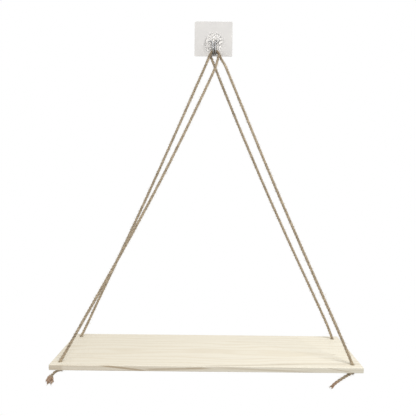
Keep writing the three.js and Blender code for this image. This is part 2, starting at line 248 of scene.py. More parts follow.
def wall_square(width, height, thickness, back, edge):
    """A flat square on the wall with round corners and eased edges, its back at the given depth."""
    shape = bmesh.new()
    bmesh.ops.create_cube(shape, size=1)
    bmesh.ops.scale(shape, vec=(width, thickness, height), verts=shape.verts)
    bmesh.ops.translate(shape, vec=(0, -back - thickness / 2, 0), verts=shape.verts)
    for radius, soft in ((soft_corner_radius, True), (corner_radius, False)):
        corners = []
        for line in shape.edges:
            first, second = (corner.co for corner in line.verts)
            upright = abs(first.y - second.y) > thickness / 2
            is_soft = first.x < -width / 3 and first.z > height / 3
            if upright and is_soft == soft and len(line.link_faces) == 2:
                if line.calc_face_angle(0) > square_angle:
                    corners.append(line)
        bmesh.ops.bevel(
            shape,
            geom=corners,
            offset=radius,
            segments=8,
            affect="EDGES",
            profile=0.5,
            material=-1,
        )
    rims = [
        line
        for line in shape.edges
        if line.calc_face_angle(0) > square_angle
        and abs(line.verts[0].co.y - line.verts[1].co.y) < 1e-6
    ]
    bmesh.ops.bevel(
        shape,
        geom=rims,
        offset=edge,
        segments=3,
        affect="EDGES",
        profile=0.5,
        material=-1,
    )
    return shape


adhesive_material, tree, shader = new_material("adhesive_foam")
shader.inputs["Roughness"].default_value = 0.45
shader.inputs["Transmission Weight"].default_value = 0.08
shader.inputs["IOR"].default_value = 1.47
coordinates = add_node(tree, "ShaderNodeTexCoord")
foam_cells = add_node(tree, "ShaderNodeTexNoise", Scale=900.0, Detail=3.0)
tree.links.new(coordinates.outputs["Object"], foam_cells.inputs["Vector"])
foam_colour = ramp_of(
    tree,
    foam_cells.outputs["Fac"],
    (0.3, foam_dark),
    (0.7, foam_light),
)
tree.links.new(foam_colour, shader.inputs["Base Color"])
bump_from(tree, shader, foam_cells.outputs["Fac"], 0.00003)
finish_piece(
    "adhesive_foam_sheet",
    wall_square(
        plate_width - 2 * adhesive_margin,
        plate_height - 2 * adhesive_margin,
        adhesive_thickness,
        0,
        adhesive_edge_round,
    ),
    adhesive_material,
    "wall_mount",
    "adhesive",
    "adhesive_sheet",
    smooth=False,
)

# Wall plate. A square of clear moulded plastic with eased edges and one rounder corner. It lies on
# the adhesive sheet and carries the boss, which is moulded in one with it.
plate_edge_round = 0.0003
plate_dark = (0.825, 0.803, 0.777, 1)
plate_light = (0.875, 0.85, 0.818, 1)

plate_material, tree, shader = new_material("clear_plate")
shader.inputs["Roughness"].default_value = 0.12
shader.inputs["Transmission Weight"].default_value = 0.2
shader.inputs["IOR"].default_value = 1.46
coordinates = add_node(tree, "ShaderNodeTexCoord")
plate_waves = add_node(tree, "ShaderNodeTexNoise", Scale=60.0, Detail=2.0)
tree.links.new(coordinates.outputs["Object"], plate_waves.inputs["Vector"])
plate_tint = ramp_of(
    tree,
    plate_waves.outputs["Fac"],
    (0.3, plate_dark),
    (0.7, plate_light),
)
tree.links.new(plate_tint, shader.inputs["Base Color"])
bump_from(tree, shader, plate_waves.outputs["Fac"], 0.00006)
finish_piece(
    "clear_wall_plate",
    wall_square(plate_width, plate_height, plate_thickness, adhesive_thickness, plate_edge_round),
    plate_material,
    "wall_mount",
    "clear_plate",
    "wall_plate",
    smooth=False,
)

# Boss. A low dome of the same clear plastic, a little below the plate's middle. A slot that is open
# to the front and below takes the hook's legs, and a cross bore takes its two arms.
plate_front = adhesive_thickness + plate_thickness
boss_radius = 0.0122
boss_height = 0.0076
boss_root = 0.0001
boss_rim_height = 0.0014
boss_face_radius = 0.0052
boss_drop = 0.0046
boss_shift = 0.0006
pivot_depth = plate_front + 0.0032
pivot_z = 0.0002 - boss_drop
wire_radius = 0.001
arm_reach = 0.0085
arm_bend_radius = 0.0022
leg_spread = 0.0021
slot_half_width = leg_spread + arm_bend_radius + 0.0005
slot_top = pivot_z + wire_radius + 0.0005
slot_corner_radius = 0.001
slot_back_wall = 0.001
bore_radius = wire_radius + 0.0003
bore_half_length = arm_reach + 0.0004
cutter_overhang = 0.003
boss_dark = (0.91, 0.9, 0.885, 1)
boss_light = (0.97, 0.965, 0.955, 1)
# The colour of the boss's thin dark arcs of painted shade.
rim_arc_shade_colour = (0.2, 0.2, 0.2, 1)


def blend_colours(tree, share, first, second, mode="MIX"):
    """A Mix node on colours or sockets; gives its colour output."""
    made = tree.nodes.new("ShaderNodeMix")
    made.data_type = "RGBA"
    made.blend_type = mode
    for place, value in ((0, share), (6, first), (7, second)):
        if isinstance(value, (int, float, tuple)):
            made.inputs[place].default_value = value
        else:
            tree.links.new(value, made.inputs[place])
    return made.outputs[2]


def boss_dome():
    shape = bmesh.new()
    outline = [Vector((boss_radius, 0, -boss_root))]
    steps = 16
    shoulder = boss_radius - boss_face_radius
    for step in range(steps + 1):
        angle = step / steps * math.pi / 2
        reach = boss_face_radius + shoulder * math.cos(angle)
        height = boss_rim_height + (boss_height - boss_rim_height) * math.sin(angle)
        outline.append(Vector((reach, 0, height)))
    corners = [shape.verts.new(place) for place in outline]
    lines = [shape.edges.new(pair) for pair in zip(corners, corners[1:])]
    bmesh.ops.spin(
        shape,
        geom=corners + lines,
        cent=(0, 0, 0),
        axis=(0, 0, 1),
        angle=2 * math.pi,
        steps=72,
        use_merge=True,
    )
    bmesh.ops.remove_doubles(shape, verts=shape.verts, dist=1e-6)
    bmesh.ops.holes_fill(shape, edges=shape.edges)
    bmesh.ops.rotate(shape, matrix=Matrix.Rotation(math.pi / 2, 3, "X"), verts=shape.verts)
    bmesh.ops.translate(shape, vec=(boss_shift, -plate_front, -boss_drop), verts=shape.verts)
    bmesh.ops.recalc_face_normals(shape, faces=shape.faces)
    return shape


def slot_cutter():
    shape = bmesh.new()
    low = -boss_drop - boss_radius - cutter_overhang
    deep = boss_height + cutter_overhang
    bmesh.ops.create_cube(shape, size=1)
    bmesh.ops.scale(shape, vec=(slot_half_width * 2, deep, slot_top - low), verts=shape.verts)
    middle = (boss_shift, -plate_front - slot_back_wall - deep / 2, (slot_top + low) / 2)
    bmesh.ops.translate(shape, vec=middle, verts=shape.verts)
    rounded = [
        line
        for line in shape.edges
        if abs(line.verts[0].co.y - line.verts[1].co.y) > deep / 2
    ]
    bmesh.ops.bevel(
        shape,
        geom=rounded,
        offset=slot_corner_radius,
        segments=6,
        affect="EDGES",
        profile=0.5,
        material=-1,
    )
    return shape


def bore_cutter():
    shape = bmesh.new()
    bmesh.ops.create_cone(
        shape,
        cap_ends=True,
        segments=32,
        radius1=bore_radius,
        radius2=bore_radius,
        depth=bore_half_length * 2,
    )
    bmesh.ops.rotate(shape, matrix=Matrix.Rotation(math.pi / 2, 3, "Y"), verts=shape.verts)
    bmesh.ops.translate(shape, vec=(boss_shift, -pivot_depth, pivot_z), verts=shape.verts)
    return shape


def cut_away(shape, *cutters):
    """The mesh of a bmesh with the cutters' bmeshes cut out of it."""
    holders = []
    for part in (shape, *cutters):
        mesh = bpy.data.meshes.new("cutting")
        part.to_mesh(mesh)
        part.free()
        holder = bpy.data.objects.new("cutting", mesh)
        bpy.context.collection.objects.link(holder)
        holders.append(holder)
    for cutter in holders[1:]:
        cut = holders[0].modifiers.new("cut", "BOOLEAN")
        cut.operation = "DIFFERENCE"
        cut.solver = "EXACT"
        cut.object = cutter
    depsgraph = bpy.context.evaluated_depsgraph_get()
    mesh = bpy.data.meshes.new_from_object(holders[0].evaluated_get(depsgraph))
    for holder in holders:
        bpy.data.objects.remove(holder)
    return mesh


boss_mesh = cut_away(boss_dome(), slot_cutter(), bore_cutter())
boss_material, tree, shader = new_material("clear_boss")
shader.inputs["Roughness"].default_value = 0.05
shader.inputs["Transmission Weight"].default_value = 0.9
shader.inputs["IOR"].default_value = 1.14
shader.inputs["Coat Weight"].default_value = 0.6
shader.inputs["Coat Roughness"].default_value = 0.03
coordinates = add_node(tree, "ShaderNodeTexCoord")
mould_waves = add_node(tree, "ShaderNodeTexNoise", Scale=160.0, Detail=2.0)
tree.links.new(coordinates.outputs["Object"], mould_waves.inputs["Vector"])
boss_tint = ramp_of(
    tree,
    mould_waves.outputs["Fac"],
    (0.3, boss_dark),
    (0.7, boss_light),
)
# Thin dark arcs of painted shade stand where the thick rim bends the light away: each has its
# direction from the boss's middle, the angle it takes up to each side, and how dark it is.
rim_arcs = [(50, 26, 0.95), (96, 12, 0.45), (184, 24, 0.1), (228, 20, 0.25)]
rim_arc_radius = 0.0113
rim_arc_half_width = 0.0005
rim_arc_full_share = 0.4
place = add_node(tree, "ShaderNodeSeparateXYZ")
tree.links.new(coordinates.outputs["Object"], place.inputs["Vector"])
sideways = calculate(tree, "SUBTRACT", place.outputs["X"], boss_shift)
upwards = calculate(tree, "ADD", place.outputs["Z"], boss_drop)
from_middle = calculate(
    tree,
    "SQRT",
    calculate(
        tree,
        "MULTIPLY_ADD",
        sideways,
        sideways,
        calculate(tree, "MULTIPLY", upwards, upwards),
    ),
)
off_ring = calculate(
    tree, "ABSOLUTE", calculate(tree, "SUBTRACT", from_middle, rim_arc_radius)
)
on_ring = fade_out(tree, off_ring, rim_arc_half_width, rim_arc_half_width * 2)
rim_arc_shade_share = None
for heading, half_angle, darkness in rim_arcs:
    toward = calculate(
        tree,
        "MULTIPLY_ADD",
        sideways,
        math.cos(math.radians(heading)),
        calculate(tree, "MULTIPLY", upwards, math.sin(math.radians(heading))),
    )
    off_heading = calculate(tree, "SUBTRACT", 1.0, calculate(tree, "DIVIDE", toward, from_middle))
    reach = 1 - math.cos(math.radians(half_angle))
    in_reach = fade_out(tree, off_heading, reach * rim_arc_full_share, reach)
    arc = calculate(tree, "MULTIPLY", in_reach, darkness)
    rim_arc_shade_share = arc if rim_arc_shade_share is None else calculate(tree, "MAXIMUM", rim_arc_shade_share, arc)
boss_colour = blend_colours(
    tree, calculate(tree, "MULTIPLY", rim_arc_shade_share, on_ring), boss_tint, rim_arc_shade_colour
)
tree.links.new(boss_colour, shader.inputs["Base Color"])
bump_from(tree, shader, mould_waves.outputs["Fac"], 0.00008)
finish_piece(
    "clear_hook_boss", boss_mesh, boss_material, "wall_mount", "clear_boss", "hook_boss"
)
boss_mesh.set_sharp_from_angle(angle=math.radians(35))

# Hook. One steel wire, doubled into a hairpin: its two ends turn out into the boss, the legs run
# down side by side and sweep forward in a J, and the wire closes over the tip.
tip_spread = 0.0016
bend_shift = 0.0014
hook_reach = 0.0206
tip_rise = 0.0003
bright_dark = (0.3, 0.305, 0.31, 1)
bright_light = (0.46, 0.465, 0.47, 1)
# The darker steel round the bend is a painted dark reflection.
bend_reflection_dark = (0.14, 0.14, 0.138, 1)
bend_reflection_light = (0.27, 0.27, 0.262, 1)
rope_diameter = 0.004
rope_gap = 0.0007
rope_side_room = 0.0012
rope_step = (rope_diameter + rope_gap) / 2
hook_bend_radius = rope_step + rope_side_room + wire_radius
bend_depth = pivot_depth + hook_bend_radius
bend_z = pivot_z - hook_reach + hook_bend_radius
right = Vector((1, 0, 0))
outward = Vector((0, -1, 0))
up = Vector((0, 0, 1))


def arc_of(centre, across, above, radius, start, end, steps):
    """Points on an arc in the plane of two unit vectors."""
    places = []
    for step in range(steps + 1):
        angle = start + (end - start) * step / steps
        reach = across * math.cos(angle) + above * math.sin(angle)
        places.append(centre + reach * radius)
    return places


def tube_mesh(lines, radius, sides=8):
    """Round tubes along lists of (place, thickness share), closed at both ends, as one mesh."""
    curve = bpy.data.curves.new("tube", "CURVE")
    curve.dimensions = "3D"
    curve.bevel_depth = radius
    curve.bevel_resolution = sides // 2 - 2
    curve.use_fill_caps = True
    for line in lines:
        spline = curve.splines.new("POLY")
        spline.points.add(len(line) - 1)
        for point, (place, share) in zip(spline.points, line):
            point.co = (*place, 1)
            point.radius = share
    holder = bpy.data.objects.new("tube", curve)
    bpy.context.collection.objects.link(holder)
    depsgraph = bpy.context.evaluated_depsgraph_get()
    mesh = bpy.data.meshes.new_from_object(holder.evaluated_get(depsgraph))
    bpy.data.objects.remove(holder)
    shape = bmesh.new()
    shape.from_mesh(mesh)
    bmesh.ops.remove_doubles(shape, verts=shape.verts, dist=1e-7)
    shape.to_mesh(mesh)
    shape.free()
    return mesh


def hook_half(side):
    """The wire's line from one arm's end to the middle of the tip."""
    inward = right * -side
    places = [Vector((boss_shift + side * arm_reach, -pivot_depth, pivot_z))]
    bend_x = boss_shift + side * (leg_spread + arm_bend_radius)
    arm_bend_centre = Vector((bend_x, -pivot_depth, pivot_z - arm_bend_radius))
    places += arc_of(arm_bend_centre, inward, up, arm_bend_radius, math.pi / 2, 0, steps=12)
    j_centre = Vector((bend_shift + side * tip_spread, -bend_depth, bend_z))
    places += arc_of(j_centre, outward, up, hook_bend_radius, math.pi, 2 * math.pi, steps=36)
    tip_centre = Vector((bend_shift, -bend_depth - hook_bend_radius, bend_z + tip_rise))
    places += arc_of(tip_centre, inward, up, tip_spread, math.pi, math.pi / 2, steps=10)
    return places


wire_line = hook_half(-1) + hook_half(1)[-2::-1]

# The wire is lighter where it leaves the boss, and darker round the bend, where a dark
# reflection is painted into its colour.
bend_reflection_top = -0.0138
bend_reflection_bottom = -0.016
hook_material, tree, shader = new_material("bright_wire")
shader.inputs["Metallic"].default_value = 1.0
shader.inputs["Roughness"].default_value = 0.22
coordinates = add_node(tree, "ShaderNodeTexCoord")
drawn_lines = add_node(tree, "ShaderNodeTexNoise", Scale=1500.0, Detail=3.0)
tree.links.new(coordinates.outputs["Object"], drawn_lines.inputs["Vector"])
bright_steel = ramp_of(
    tree,
    drawn_lines.outputs["Fac"],
    (0.3, bright_dark),
    (0.7, bright_light),
)
bend_reflection_steel = ramp_of(
    tree,
    drawn_lines.outputs["Fac"],
    (0.3, bend_reflection_dark),
    (0.7, bend_reflection_light),
)
place = add_node(tree, "ShaderNodeSeparateXYZ")
tree.links.new(coordinates.outputs["Object"], place.inputs["Vector"])
wire_colour = blend_colours(
    tree,
    fade_out(tree, place.outputs["Z"], bend_reflection_bottom, bend_reflection_top),
    bright_steel,
    bend_reflection_steel,
)
tree.links.new(wire_colour, shader.inputs["Base Color"])
bump_from(tree, shader, drawn_lines.outputs["Fac"], 0.00001)
finish_piece(
    "steel_wire_hook",
    tube_mesh([[(place, 1.0) for place in wire_line]], wire_radius, sides=20),
    hook_material,
    "hook",
    "hook_steel",
    "hook_wire",
)

# Board. Planed and sanded pine without varnish, 400 by 120 by 7 mm, with eased edges and a hole
# near each corner. Its shape is the solid's own, and its grain runs along it in soft wavy lines.
board_length = 0.4
board_depth = 0.12
board_thickness = 0.007
board_top = -0.4446
board_shift = -0.006
hole_margin_x = 0.0112
hole_margin_y = 0.0115
hole_x = board_length / 2 - hole_margin_x
hole_y = board_depth / 2 - hole_margin_y
board_bottom = board_top - board_thickness
board_middle = board_top - board_thickness / 2
pith_offset_y = 0.07
pith_offset_z = 0.52
ring_pitch = 0.0041
ring_wander = 0.019
late_wood_share = 0.55
fibre_share = 0.25
grain_depth = 0.00012
early_wood = (0.9, 0.845, 0.71, 1)
late_wood_colour = (0.79, 0.705, 0.545, 1)
pine_fibre_colour = (0.8, 0.71, 0.55, 1)
streak_colour = (0.33, 0.24, 0.14, 1)

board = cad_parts["shelf_board"]
pine_material, tree, shader = new_material("sanded_pine")
shader.inputs["Roughness"].default_value = 0.62
coordinates = add_node(tree, "ShaderNodeTexCoord")
spread_out = add_node(tree, "ShaderNodeMapping")
spread_out.inputs["Scale"].default_value = (0.16, 1.0, 1.0)
tree.links.new(coordinates.outputs["Object"], spread_out.inputs["Vector"])
slow_bend = add_node(tree, "ShaderNodeTexNoise", Scale=28.0, Detail=2.0)
tree.links.new(spread_out.outputs["Vector"], slow_bend.inputs["Vector"])
place = add_node(tree, "ShaderNodeSeparateXYZ")
tree.links.new(coordinates.outputs["Object"], place.inputs["Vector"])
pith_y = calculate(tree, "ADD", place.outputs["Y"], pith_offset_y)
pith_z = calculate(tree, "ADD", place.outputs["Z"], pith_offset_z)
ring_reach = calculate(
    tree,
    "SQRT",
    calculate(
        tree,
        "ADD",
        calculate(tree, "MULTIPLY", pith_y, pith_y),
        calculate(tree, "MULTIPLY", pith_z, pith_z),
    ),
)
bent_reach = calculate(tree, "MULTIPLY_ADD", slow_bend.outputs["Fac"], ring_wander, ring_reach)
ring_turn = calculate(tree, "SINE", calculate(tree, "MULTIPLY", bent_reach, 2 * math.pi / ring_pitch))
ring_share = calculate(tree, "MULTIPLY_ADD", ring_turn, 0.5, 0.5)
late_wood = calculate(tree, "POWER", ring_share, 3.0)
fibre_map = add_node(tree, "ShaderNodeMapping")
fibre_map.inputs["Scale"].default_value = (0.02, 1.0, 1.0)
tree.links.new(coordinates.outputs["Object"], fibre_map.inputs["Vector"])
fibres = add_node(tree, "ShaderNodeTexNoise", Scale=1400.0, Detail=4.0)
tree.links.new(fibre_map.outputs["Vector"], fibres.inputs["Vector"])
ground = blend_colours(
    tree,
    calculate(tree, "MULTIPLY", late_wood, late_wood_share),
    early_wood,
    late_wood_colour,
)
pine_colour = blend_colours(
    tree,
    calculate(tree, "MULTIPLY", fibres.outputs["Fac"], fibre_share),
    ground,
    pine_fibre_colour,
)


def streak_share(tree, along, across, start, end, half_width, darkness):
    """How dark a slanting streak of the wood is, from one (along, across) place to another."""
    run = calculate(tree, "DIVIDE", calculate(tree, "SUBTRACT", along, start[0]), end[0] - start[0])
    middle = calculate(tree, "MULTIPLY_ADD", run, end[1] - start[1], start[1])
    off_line = calculate(tree, "ABSOLUTE", calculate(tree, "SUBTRACT", across, middle))
    off_centre = calculate(tree, "ABSOLUTE", calculate(tree, "SUBTRACT", run, 0.5))
    beside = fade_out(tree, off_line, half_width * 0.3, half_width)
    return calculate(
        tree,
        "MULTIPLY",
        calculate(tree, "MULTIPLY", beside, fade_out(tree, off_centre, 0.3, 0.5)),
        darkness,
    )


# Painted shade and light: the edges are painted darker than the top, and the whole board darker
# toward its left end and lighter toward its right. The share of the painted edge shade falls from
# one to nothing between these two distances in from the board's outline.
edge_near = 0.0001
edge_far = 0.0007
off_middle_x = calculate(tree, "ABSOLUTE", calculate(tree, "SUBTRACT", place.outputs["X"], board_shift))
off_middle_y = calculate(tree, "ABSOLUTE", calculate(tree, "ADD", place.outputs["Y"], board_depth / 2))
from_end = calculate(tree, "SUBTRACT", board_length / 2, off_middle_x)
from_side = calculate(tree, "SUBTRACT", board_depth / 2, off_middle_y)
edge_share = fade_out(tree, calculate(tree, "MINIMUM", from_end, from_side), edge_near, edge_far)
left_end_x = -0.2
right_end_x = 0.16
# Multipliers of painted shade on the edges and of painted light on the top, at each end.
side_shade_right = (0.735, 0.735, 0.73, 1)
side_shade_left = (0.73, 0.71, 0.695, 1)
top_light_right = (1.05, 1.055, 1.06, 1)
top_light_left = (0.99, 0.985, 0.98, 1)
toward_left = fade_out(tree, place.outputs["X"], left_end_x, right_end_x)
side_shade = blend_colours(tree, toward_left, side_shade_right, side_shade_left)
top_light = blend_colours(tree, toward_left, top_light_right, top_light_left)
lit_top_colour = blend_colours(tree, 1.0, pine_colour, top_light, "MULTIPLY")
shaded_side_colour = blend_colours(tree, edge_share, lit_top_colour, side_shade, "MULTIPLY")

# Streaks of darker wood cross the front edge at a slant: each has its two ends as (place along the
# board, share of the thickness down from the top), its half width and how dark it is.
edge_streaks = [
    ((-0.21, 0.5), (-0.186, 0.5), 0.004, 0.3),
    ((-0.146, -0.1), (-0.076, 1.0), 0.0017, 0.75),
    ((-0.16, 0.9), (0.02, 0.95), 0.0011, 0.35),
    ((-0.092, 0.7), (0.006, 0.3), 0.0015, 0.6),
    ((-0.034, 0.35), (-0.008, 0.25), 0.0009, 0.7),
    ((-0.006, 0.05), (0.152, 1.05), 0.0015, 0.3),
    ((0.06, 0.0), (0.15, 0.35), 0.0007, 0.2),
    ((0.145, 0.0), (0.186, 1.0), 0.0009, 0.4),
]
# Those on the top have their ends as (place along the board, place across it); the last of them is
# only a small dark mark beside the right front rope.
top_streaks = [
    ((-0.02, -0.1195), (0.13, -0.1092), 0.0024, 0.3),
    ((0.06, -0.1105), (0.215, -0.1068), 0.0024, 0.3),
    ((-0.03, -0.0885), (0.13, -0.0945), 0.001, 0.16),
    ((0.163, -0.0765), (0.171, -0.0745), 0.0006, 0.7),
]
down_the_edge = [
    [(along, board_top - share * board_thickness) for along, share in ends] + [half_width, darkness]
    for *ends, half_width, darkness in edge_streaks
]
streaks = None
for face_share, across, found in (
    (edge_share, place.outputs["Z"], down_the_edge),
    (calculate(tree, "SUBTRACT", 1.0, edge_share), place.outputs["Y"], top_streaks),
):
    for start, end, half_width, darkness in found:
        streak = streak_share(tree, place.outputs["X"], across, start, end, half_width, darkness)
        streak = calculate(tree, "MULTIPLY", streak, face_share)
        streaks = streak if streaks is None else calculate(tree, "MAXIMUM", streaks, streak)
pine_colour = blend_colours(tree, streaks, shaded_side_colour, streak_colour)
tree.links.new(pine_colour, shader.inputs["Base Color"])
grain_height = calculate(tree, "MULTIPLY_ADD", late_wood, 0.5, fibres.outputs["Fac"])
bump_from(tree, shader, grain_height, grain_depth)
board.data.materials.clear()
board.data.materials.append(pine_material)

# Ropes. Two lengths of three-ply jute cord, 4 mm thick. Each comes up through a back hole, goes
# over the hook and down through the front hole on the same side, with a stopper knot under the
# board and a short tail at each end. The left rope lies in front, and its front tail is opened.
saddle_shift = 0.0019
saddle_depth = 0.00095
saddle_side_room = 0.0008
saddle_crown_share = 1.25
saddle_seat_gap = 0.00035
rope_radius = rope_diameter / 2
sway_z = bend_z - math.sqrt(hook_bend_radius**2 - rope_step**2) - saddle_depth
rest_reach = wire_radius + saddle_seat_gap + rope_radius
saddle_half_width = tip_spread + saddle_shift - bend_shift + rest_reach + saddle_side_room
saddle_rise = (saddle_depth + rest_reach) * saddle_crown_share
# How far each run bows, and its route, listed as how far up the run each place is and what share of
# the bow it has there. A share below zero bows outwards.
left_back_bow = 0.0023
left_front_bow = 0.0087
right_front_bow = 0.0024
right_back_bow = 0.0034
left_back_shares = [
    (0.012, 0.04), (0.04, 0.2), (0.1, 0.28), (0.2, 0.48), (0.32, 0.78), (0.44, 0.98),
    (0.56, 0.95), (0.68, 0.8), (0.8, 0.56), (0.9, 0.28), (0.96, 0.15),
]
left_front_shares = [
    (0.012, 0.035), (0.04, 0.105), (0.1, 0.23), (0.2, 0.45), (0.32, 0.7), (0.44, 0.9),
    (0.56, 1), (0.68, 0.95), (0.8, 0.81), (0.9, 0.63), (0.96, 0.46),
]
right_front_shares = [
    (0.012, -0.03), (0.04, -0.1), (0.1, -0.12), (0.2, 0.05), (0.32, 0.22), (0.44, 0.32),
    (0.56, 0.26), (0.68, -0.04), (0.8, -0.54), (0.9, -0.88), (0.96, -1),
]
right_back_shares = [
    (0.012, -0.15), (0.04, -0.35), (0.1, -0.28), (0.2, 0.08), (0.32, 0.52), (0.44, 0.82),
    (0.56, 0.98), (0.68, 0.92), (0.8, 0.78), (0.9, 0.5), (0.96, 0.26),
]

knot_pitch = 0.00315
knot_radius = 0.00135
knot_inner_share = 0.6
knot_swing_share = 0.52
knot_rise_share = 0.57
knot_offset_share = 0.38
knot_rim_share = knot_inner_share + knot_swing_share * 2
knot_steps = 22
knot_first_turn = 0.25
knot_last_turn = 2 * math.pi - 0.4
knot_board_gap = 0.0003
knot_z = board_bottom - knot_board_gap - knot_radius - knot_pitch * knot_rise_share
# The knot's ends and the tails are lists of (edgeward, along, up) in knot pitches, and the tails'
# places have their thickness as a fourth value.
knot_lead = [(0, 0, 1.75), (0, 0.03, 1.02)]
tail_start = [(0.6, 0, -0.1), (0.79, 0.86, -0.27)]
left_front_tail = [
    (0.87, 1.97, -0.9, 1), (0.87, 2.85, -1.85, 1), (0.87, 3.35, -2.45, 1.1), (0.86, 3.68, -3.05, 1.5),
    (0.85, 3.95, -3.65, 2.1), (0.84, 4.1, -4.3, 2.45), (0.83, 4.2, -4.95, 2.5), (0.82, 4.25, -5.5, 2.2),
]
right_front_tail = [
    (0.87, 1.97, -0.72, 1), (0.87, 3.2, -1.5, 1), (0.85, 5.1, -2.8, 1), (0.8, 6.85, -4.1, 1.1),
    (0.76, 7.95, -5.2, 1.15), (0.72, 8.65, -6.2, 1.1),
]
back_tail = [
    (0.87, 1.97, -0.8, 1), (0.87, 3.2, -1.65, 1), (0.8, 4.6, -2.75, 1.05), (0.7, 5.9, -3.9, 1.2),
]
hook_squeeze_share = 0.86
hook_sink = 0.0005
squeezed_share = 0.82
tail_share = 0.9
ply_pitch = 0.013
ply_reach_share = 0.52
ply_share = 0.455
route_step = 0.0006
tuft_yarns = 110
tuft_yarn_radius = 0.0003
tuft_least_share = 1.2
tuft_spread = 1.2
tuft_wave = 0.6
tuft_wave_scale = 300
tail_most_steps = 50
ply_wander_share = 0.06
ply_wander_scale = 120
ply_swell_share = 0.12
ply_swell_scale = 260
fibres_per_metre = 5500
fibre_radius = 0.00005
fibre_end_steps = 60
fibre_least_length = 0.0012
fibre_most_length = 0.0036
fibre_most_turn = 1.6
brush_steps = 24
jute_dark = (0.245, 0.182, 0.114, 1)
jute_middle = (0.41, 0.32, 0.211, 1)
jute_light = (0.57, 0.465, 0.325, 1)
yarn_light = (0.5, 0.43, 0.32, 1)
yarn_turns_along = 170
yarn_turns_around = 7
yarn_stray = 7.0
# The painted shade on the ropes over the hook: its colour, and where below the hook's top it is full
# and gone.
hook_shade_colour = (0.16, 0.095, 0.045, 1)
hook_shade_near = 0.005
hook_shade_far = 0.016
red_colour = (0.4, 0.21, 0.13, 1)
red_drop = 0.016
red_fade = 0.006


def saddle_place(layer, angle, side):
    return Vector(
        (
            saddle_shift + side * saddle_half_width * math.sin(angle),
            -bend_depth - layer * rope_step,
            sway_z + saddle_rise * math.cos(angle),
        )
    )


def run_route(hole, layer, side, bow, shares):
    """Places up from the board's top to the saddle, and the saddle's angle where it ends."""
    start = Vector((hole.x, hole.y, board_top))
    brink = saddle_place(layer, math.pi / 2, side)
    fall = brink - start
    bow_direction = (fall * (fall.z / fall.length_squared) - up).normalized()
    route = [start]
    for share, bow_share in shares:
        route.append(start.lerp(brink, share) + bow_direction * bow * bow_share)
    across = (route[-1].x - saddle_shift) * side / saddle_half_width
    above = (route[-1].z - sway_z) / saddle_rise
    angle = math.pi - math.atan2(across, -above) - math.acos(1 / math.hypot(across, above))
    along = Vector(
        (side * saddle_half_width * math.cos(angle), 0, -saddle_rise * math.sin(angle))
    ).normalized()
    touch = saddle_place(layer, angle, side)
    route += [touch + along * rope_diameter * 2, touch + along * rope_diameter]
    return route, angle


def knot_route(row, hole, tail):
    """Places and thickness shares from a hole's middle through its trefoil knot to the tail's end."""
    shares = [(place, 0.5 * (1 + squeezed_share)) for place in knot_lead]
    for step in range(knot_steps + 1):
        turn = knot_first_turn + (knot_last_turn - knot_first_turn) * step / knot_steps
        reach = knot_inner_share + knot_swing_share * (1 + math.cos(turn * 3))
        edgeward = reach * math.cos(turn * 2) - knot_rim_share
        along = reach * math.sin(turn * 2) + knot_offset_share
        shares.append(((edgeward, along, knot_rise_share * math.sin(turn * 3)), squeezed_share))
    shares += [(place, squeezed_share) for place in tail_start]
    shares += [(place, tail_share * thickness) for *place, thickness in tail]
    route = [(hole, 1.0)]
    for (edgeward, along, rise), thickness in shares:
        offset = Vector((row * along, row * edgeward, rise)) * knot_pitch
        route.append((Vector((hole.x, hole.y, knot_z)) + offset, thickness))
    return route


def rope_route(side, layer, back_run, front_run, front_tail):
    """The whole rope from the back tail's end to the front tail's, as (place, thickness share)."""
    back_hole = Vector((board_shift + side * hole_x, -board_depth / 2 + hole_y, board_middle))
    front_hole = Vector((board_shift + side * hole_x, -board_depth / 2 - hole_y, board_middle))
    back_places, back_angle = run_route(back_hole, layer, -1, *back_run)
    front_places, front_angle = run_route(front_hole, layer, 1, *front_run)
    over_hook = []
    steps = 16
    for step in range(steps + 1):
        angle = -back_angle + (back_angle + front_angle) * step / steps
        over_hook.append((saddle_place(layer, angle, 1) - up * hook_sink, hook_squeeze_share))
    route = knot_route(1, back_hole, back_tail)[::-1]
    route += [(place, 1.0) for place in back_places]
    route += over_hook
    route += [(place, 1.0) for place in front_places[::-1]]
    route += knot_route(-1, front_hole, front_tail)
    return route


def smooth_route(route, step_length):
    """The route as a smooth line through its places, at even steps along it."""
    places = [place for place, _ in route]
    fine = []
    for index in range(len(places) - 1):
        before = places[index - 1] if index else places[0] * 2 - places[1]
        first, second = places[index], places[index + 1]
        after = places[index + 2] if index + 2 < len(places) else second * 2 - first
        steps = ((before, first), (first, second), (second, after))
        gaps = [(far - near).length ** 0.5 for near, far in steps]
        lean_out = (
            (first - before) / gaps[0]
            - (second - before) / (gaps[0] + gaps[1])
            + (second - first) / gaps[1]
        ) * gaps[1]
        lean_in = (
            (second - first) / gaps[1]
            - (after - first) / (gaps[1] + gaps[2])
            + (after - second) / gaps[2]
        ) * gaps[1]
        pieces = max(2, round((second - first).length / (step_length * 0.4)))
        for piece in range(pieces):
            way = piece / pieces
            place = (
                first * (2 * way**3 - 3 * way**2 + 1)
                + lean_out * (way**3 - 2 * way**2 + way)
                + second * (3 * way**2 - 2 * way**3)
                + lean_in * (way**3 - way**2)
            )
            share = route[index][1] + (route[index + 1][1] - route[index][1]) * way
            fine.append((place, share))
    fine.append(route[-1])
    lengths = [0.0]
    for (near, _), (far, _) in zip(fine, fine[1:]):
        lengths.append(lengths[-1] + (far - near).length)
    count = round(lengths[-1] / step_length)
    even = []
    index = 0
    for station in range(count + 1):
        reach = lengths[-1] * station / count
        while index < len(fine) - 2 and lengths[index + 1] < reach:
            index += 1
        way = (reach - lengths[index]) / max(lengths[index + 1] - lengths[index], 1e-9)
        place = fine[index][0].lerp(fine[index + 1][0], way)
        even.append((place, fine[index][1] * (1 - way) + fine[index + 1][1] * way))
    return even


